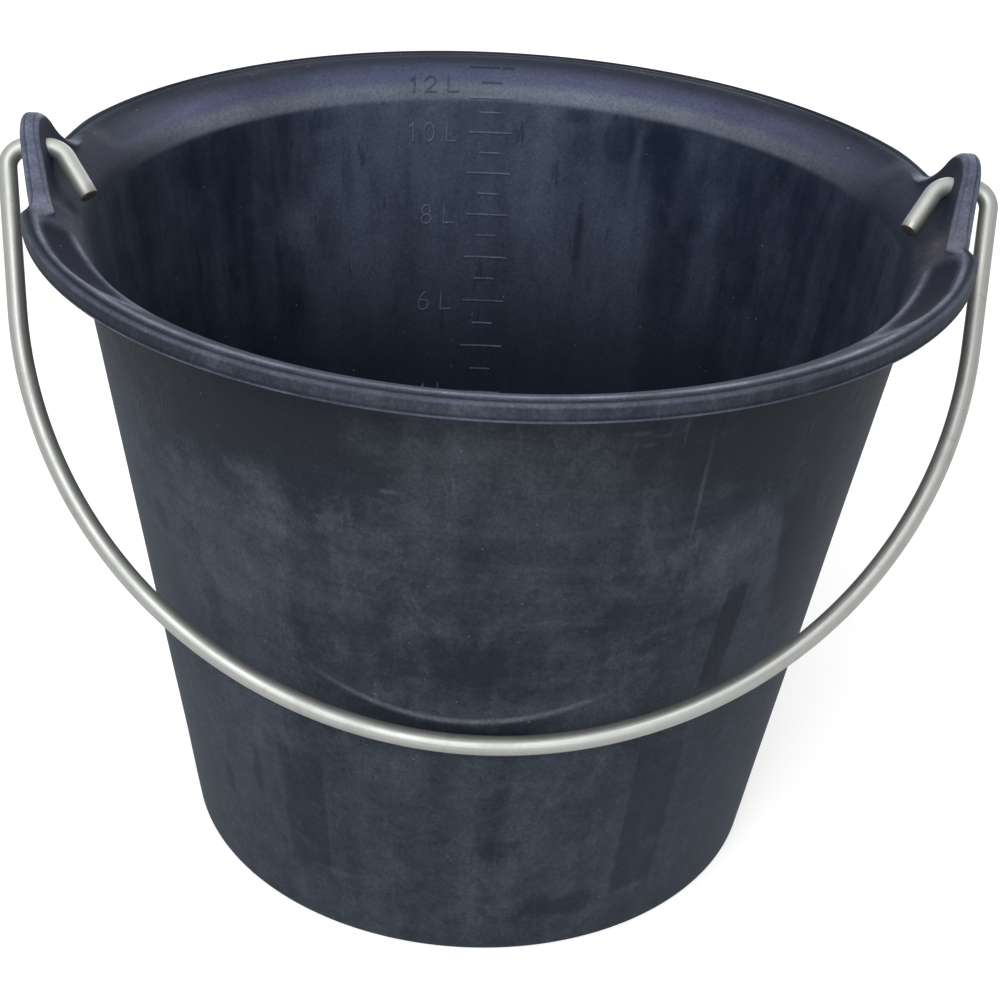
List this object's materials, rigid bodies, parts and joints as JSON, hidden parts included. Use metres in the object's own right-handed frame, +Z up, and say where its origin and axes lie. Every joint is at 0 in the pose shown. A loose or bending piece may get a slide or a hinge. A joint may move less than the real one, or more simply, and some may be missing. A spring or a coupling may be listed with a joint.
{
  "type": "bucket",
  "caption": "Tapered rubber builder's bucket with a flared rim, moulded lugs and a swinging wire bail, for carrying mortar, feed or water.",
  "frame": {"origin": "on the floor, under the middle of the base", "axes": "+X along the bail's pivot axis towards one lug, -Y towards the side on which the bail hangs, +Z up"},
  "size_m": [0.3442, 0.326, 0.268],
  "materials": {
    "rubber": "matte",
    "wire": "satin"
  },
  "bodies": {
    "bucket": {"bucket_body": "rubber"},
    "bail": {"wire_bail": "wire"}
  },
  "joints": [
    {"name": "bail_swing", "type": "hinge", "parent": "bucket", "child": "bail", "pos_m": [0, 0, 0.2565], "axis": [-1, 0, 0], "range_deg": [0, 278]}
  ]
}
